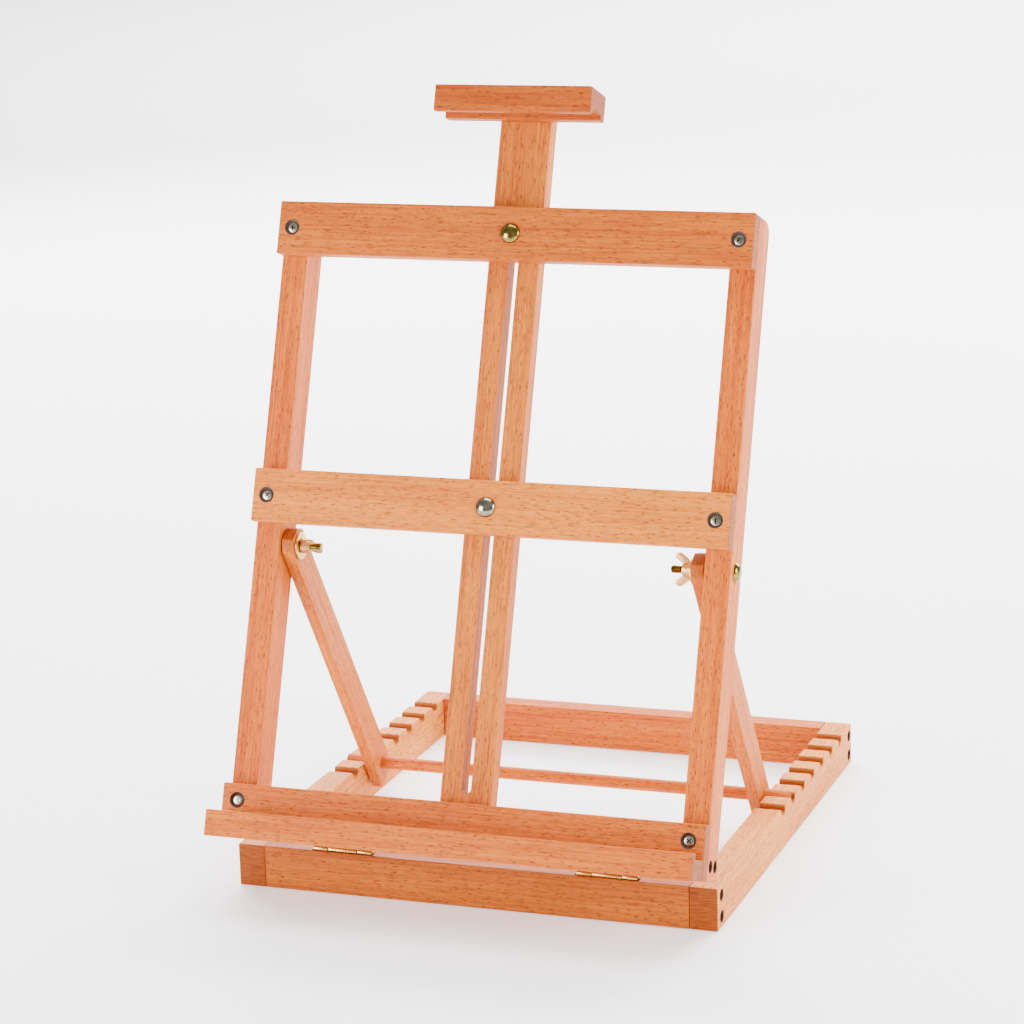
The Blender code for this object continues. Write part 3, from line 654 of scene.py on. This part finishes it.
# ---------------------------------------------------------------- prop
def build_prop():
    half = STRUT_WIDTH / 2
    clip = half * 0.42                # where the top's corners are cut off
    end = -STRUT_LENGTH - STRUT_TAIL
    outline = [
        (0, half, end), (0, half, clip), (0, clip, half), (0, -clip, half),
        (0, -half, clip), (0, -half, end),
    ]
    outer = FRAME_WIDTH / 2 - UPRIGHT_WIDTH - STRUT_PLAY
    for side, label in ((-1, "left"), (1, "right")):
        start = outer - STRUT_THICKNESS if side > 0 else -outer
        strut = ease(slab(outline, (start, 0, 0), (STRUT_THICKNESS, 0, 0)), angle=30)
        holes = [
            aim(rod(radius, 14), (side * (outer + 2), 0, height), (-side, 0, 0))
            for radius, height in ((BOLT_HOLE, 0), (DOWEL_RADIUS + GAP, -STRUT_LENGTH))
        ]
        wood = beech(
            f"steamed beech, {label} strut", TURN_STRUT, (0.6 * side, 0.2, 0.1 * side),
            "#CD6F19", "#AC4D0C")
        piece(
            f"{label} strut", strut, PROPPED, wood, "prop", [f"strut_{label}"], "beech",
            cuts=merge(*holes))
    dowel = ease(rod(DOWEL_RADIUS, DOWEL_LENGTH), angle=30)
    piece(
        "prop dowel", aim(dowel, (-DOWEL_LENGTH / 2, 0, -STRUT_LENGTH), (1, 0, 0)), PROPPED,
        beech("steamed beech, dowel", TURN_X, (0.25, 0.8, 0.9)), "prop", ["prop_dowel"],
        "beech", angle=25)


# ---------------------------------------------------------------- fittings
def carriage_bolt(name, seat, direction, length, finish, body, node):
    """Polished domed head on a square neck, with a turned thread at its tail."""
    dome = [
        (HEAD_RADIUS * sin(a), min(0.0, 0.45 - HEAD_RISE * cos(a)))
        for a in [pi / 20 * k for k in range(11)]
    ]
    depth = length - THREAD
    profile = [*dome, (6.9, 0), (BOLT_RADIUS, 0), (BOLT_RADIUS, depth)]
    while depth < length - 1.5 * THREAD_PITCH:
        profile += [
            (BOLT_RADIUS - 0.4, depth + THREAD_PITCH / 2), (BOLT_RADIUS, depth + THREAD_PITCH)]
        depth += THREAD_PITCH
    profile += [(2.3, length), (0, length)]
    bolt = aim(turned(profile, 40), seat, direction)
    neck = aim(ease(block((-NECK, -NECK, -0.5), (NECK, NECK, 4)), 0.3, 1), seat, direction)
    return piece(name, bolt, LEANING, finish, body, [node], "nickel_steel", joins=neck, angle=32)


def flat_washer(name, seat, direction, radius, material, body, node, slot):
    """A plain ring, 1.4 mm thick."""
    ring = rounded_turn([(BOLT_HOLE, 0), (radius, 0), (radius, 1.4), (BOLT_HOLE, 1.4)], 0.3, 2)
    return piece(
        name, aim(ring, seat, direction), LEANING, material, body, [node], slot, angle=32)


def wing_nut(name, seat, direction, spin, body, node):
    """A tapered hub with two upswept wings, rounded all over as a casting is."""
    hub = rounded_turn([
        (HUB_BORE, 0), (HUB_FOOT, 0), (HUB_FOOT, 1.2), (HUB_TOP, HUB_HEIGHT),
        (HUB_BORE, HUB_HEIGHT),
    ], 0.4)
    out, up = WING_TIP
    wings = []
    for side in (1, -1):
        lobe = [
            (out + 2.6 * cos(a), up + 3.2 * sin(a))
            for a in [radians(d) for d in range(-60, 151, 15)]
        ]
        edge = [(3.9, 1.2), (7.6, 2.4), *lobe, (3.9, 6.2)]
        wing = slab([(side * r, 0, z) for r, z in edge], (0, -WING / 2, 0), (0, WING, 0))
        wings.append(aim(ease(wing, 0.7, 3), seat, direction, spin))
    return piece(
        name, aim(hub, seat, direction, spin), LEANING, COPPERED, body, [node], "brass",
        joins=merge(*wings), angle=35)


def build_fittings():
    half = FRAME_WIDTH / 2
    back = BOARD_BACK + GAP + MAST_THICKNESS
    for row, low, finish in (("top", TOP_BAR, YELLOW_ZINC), ("middle", MIDDLE_BAR, NICKEL)):
        height = low + BOARD_HEIGHT / 2
        carriage_bolt(
            f"mast clamp bolt, {row}", (0, FRAME_FRONT - GAP, height), (0, 1, 0), MAST_BOLT,
            finish, "front_frame", f"mast_bolt_{row}")
        flat_washer(
            f"mast clamp washer, {row}", (0, back + GAP, height), (0, 1, 0), MAST_WASHER,
            NICKEL, "front_frame", f"mast_washer_{row}", "nickel_steel")
        wing_nut(
            f"mast clamp wing nut, {row}", (0, back + 2, height), (0, 1, 0), 0,
            f"mast_nut_{row}", f"mast_wing_nut_{row}")
    inner = half - UPRIGHT_WIDTH - STRUT_PLAY - STRUT_THICKNESS
    for side, label in ((-1, "left"), (1, "right")):
        carriage_bolt(
            f"prop pivot bolt, {label}", (side * (half + GAP), PIVOT_BACK, PIVOT_UP),
            (-side, 0, 0), PROP_BOLT, YELLOW_ZINC, "front_frame", f"prop_bolt_{label}")
        flat_washer(
            f"prop pivot washer, {label}", (side * (inner - GAP), PIVOT_BACK, PIVOT_UP),
            (-side, 0, 0), PROP_WASHER, BRASS, "front_frame", f"prop_washer_{label}", "brass")
        wing_nut(
            f"prop pivot wing nut, {label}", (side * (inner - 2), PIVOT_BACK, PIVOT_UP),
            (-side, 0, 0), NUT_TURN[label], f"prop_nut_{label}", f"prop_wing_nut_{label}")


def build_hinge(label, centre):
    """Brass butt hinge: rolled knuckles on a pin, with three small screws in each leaf."""
    low, high = centre - HINGE_HALF, centre + HINGE_HALF
    inner_low, inner_high = low + END_KNUCKLE, high - END_KNUCKLE
    middle = inner_high - inner_low
    hinge_place = Matrix.Translation((0, axis_y, axis_z))

    def knuckle(start, length):
        ring = rounded_turn(
            [(PIN_HOLE, 0), (BARREL, 0), (BARREL, length), (PIN_HOLE, length)], 0.2, 2, 32)
        return aim(ring, (start, 0, 0), (1, 0, 0))

    def relief(start, length):
        return aim(rod(BARREL_SEAT, length, 32), (start, 0, 0), (1, 0, 0))

    def bore():
        return aim(rod(PIN_HOLE, 50, 32), (low - 3, 0, 0), (1, 0, 0))

    def screw_heads(points, direction):
        head = [(0, -0.3), (1.9, -0.1), (1.9, 0.6), (0, 0.6)]
        return [aim(rounded_turn(head, 0.15, 2, 28), p, direction) for p in points]

    columns = (centre - LEAF_SCREW_PITCH, centre, centre + LEAF_SCREW_PITCH)
    base_leaf = ease(block((low, 0.4, -1.2), (high, LEAF_REACH, -0.1)), 0.15, 2)
    piece(
        f"{label} hinge, base leaf", base_leaf, hinge_place, BRASS, "base",
        [f"hinge_{label}_base_leaf"], "brass",
        cuts=merge(relief(inner_low - GAP, middle + 2 * GAP), bore()),
        joins=merge(
            knuckle(low, END_KNUCKLE - GAP), knuckle(inner_high + GAP, END_KNUCKLE - GAP)),
        angle=32)
    frame_leaf = ease(block((low, -1.2, 0.4), (high, -0.1, LEAF_REACH)), 0.15, 2)
    piece(
        f"{label} hinge, frame leaf", frame_leaf, LEANING, BRASS, "front_frame",
        [f"hinge_{label}_frame_leaf"], "brass",
        cuts=merge(
            relief(low - 1, END_KNUCKLE + GAP), relief(inner_high - GAP, END_KNUCKLE + 1 + GAP),
            bore()),
        joins=knuckle(inner_low + GAP, middle - 2 * GAP), angle=32)
    pin = ease(rod(1, 2 * HINGE_HALF + 1, 24), 0.25, 2, 30)
    piece(
        f"{label} hinge pin", aim(pin, (low - 0.5, 0, 0), (1, 0, 0)), hinge_place, NICKEL,
        "base", [f"hinge_{label}_pin"], "nickel_steel", angle=32)
    for body, place, points, direction in (
        ("base", hinge_place, [(x, LEAF_SCREW_OUT, -0.1) for x in columns], (0, 0, -1)),
        ("front_frame", LEANING, [(x, -0.1, LEAF_SCREW_OUT) for x in columns], (0, -1, 0)),
    ):
        heads = plain_object(
            f"{label} hinge screws, {body.replace('_', ' ')}",
            merge(*screw_heads(points, direction)), place, (BRASS,))
        heads.data.shade_smooth()
        heads.data.set_sharp_from_angle(angle=radians(32))
        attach(heads, body)


build_base()
build_frame()
build_mast()
build_prop()
build_fittings()
for hinge_label, hinge_centre in (("left", -HINGE_X), ("right", HINGE_X)):
    build_hinge(hinge_label, hinge_centre)


# ---------------------------------------------------------------- floor, light and camera
def build_floor():
    """White board lit faintly from below, large enough to fill every view."""
    made, tree, shader = new_material("opal white studio board, lit from below")
    where = add(tree, "ShaderNodeTexCoord")
    tooth = add(tree, "ShaderNodeTexNoise", {
        "Vector": (where, "Object"), "Scale": 1 / (2 * MM), "Detail": 2.0})
    relief = add(tree, "ShaderNodeBump", {
        "Height": (tooth, "Fac"), "Strength": 0.05, "Distance": 0.05 * MM})
    tree.links.new(relief.outputs["Normal"], shader.inputs["Normal"])
    shader.inputs["Base Color"].default_value = linear("#F4F4F4")
    shader.inputs["Roughness"].default_value = 0.9
    shader.inputs["Emission Color"].default_value = (1, 1, 1, 1)
    shader.inputs["Emission Strength"].default_value = 0.55
    bm = bmesh.new()
    bmesh.ops.create_grid(bm, x_segments=1, y_segments=1, size=40)
    mesh = bpy.data.meshes.new("studio floor")
    bm.to_mesh(mesh)
    bm.free()
    floor = bpy.data.objects.new("studio floor", mesh)
    mesh.materials.append(made)
    bpy.context.scene.collection.objects.link(floor)
    floor.location.z = -0.0005


def soft_light(name, place, size, power, target=(0, 0, 0.2)):
    """A square area light, size metres wide, that faces its target."""
    lamp = bpy.data.lights.new(name, "AREA")
    lamp.size = size
    lamp.energy = power
    made = bpy.data.objects.new(name, lamp)
    made.location = place
    made.rotation_euler = (Vector(target) - Vector(place)).to_track_quat("-Z", "Y").to_euler()
    bpy.context.scene.collection.objects.link(made)


def build_studio():
    build_floor()
    world = bpy.data.worlds.new("studio")
    bpy.context.scene.world = world
    world.use_nodes = True
    background = world.node_tree.nodes["Background"]
    background.inputs["Color"].default_value = (1, 1, 1, 1)
    background.inputs["Strength"].default_value = 0.75
    soft_light("key from the right", (2.3, -0.3, 0.9), 1.1, 80)
    soft_light("fill from the front left", (-1.5, -1.9, 0.6), 1.0, 85)
    soft_light("overhead", (0, 0.4, 2.8), 2.2, 135)
    soft_light("from behind on the left", (-1.9, 2.3, 1.8), 2.0, 190)
    soft_light("from behind on the right", (1.3, 2.7, 1.8), 2.0, 190)
    soft_light("on the backdrop", (0, 6, 4), 5, 1400, (0, 7, 0))


def build_camera():
    """A long lens, 2.4 m away, to the right of the easel's front and above it."""
    place = (766.9, -2019.3 + BASE_FRONT, 821.8)
    yaw, pitch, roll = (radians(a) for a in (19.86, 13.99, -1.70))
    forward = Vector((-sin(yaw) * cos(pitch), cos(yaw) * cos(pitch), -sin(pitch)))
    right = Vector((cos(yaw), sin(yaw), 0))
    up = right.cross(forward)
    turned_right = right * cos(roll) + up * sin(roll)
    turned_up = up * cos(roll) - right * sin(roll)
    data = bpy.data.cameras.new("camera")
    data.sensor_width = 36
    data.lens = 115.5646
    data.clip_end = 100
    camera = bpy.data.objects.new("camera", data)
    turn = Matrix((turned_right, turned_up, -forward)).transposed().to_4x4()
    camera.matrix_world = Matrix.Translation(Vector(place) * MM) @ turn
    bpy.context.scene.collection.objects.link(camera)
    bpy.context.scene.camera = camera


build_studio()
build_camera()
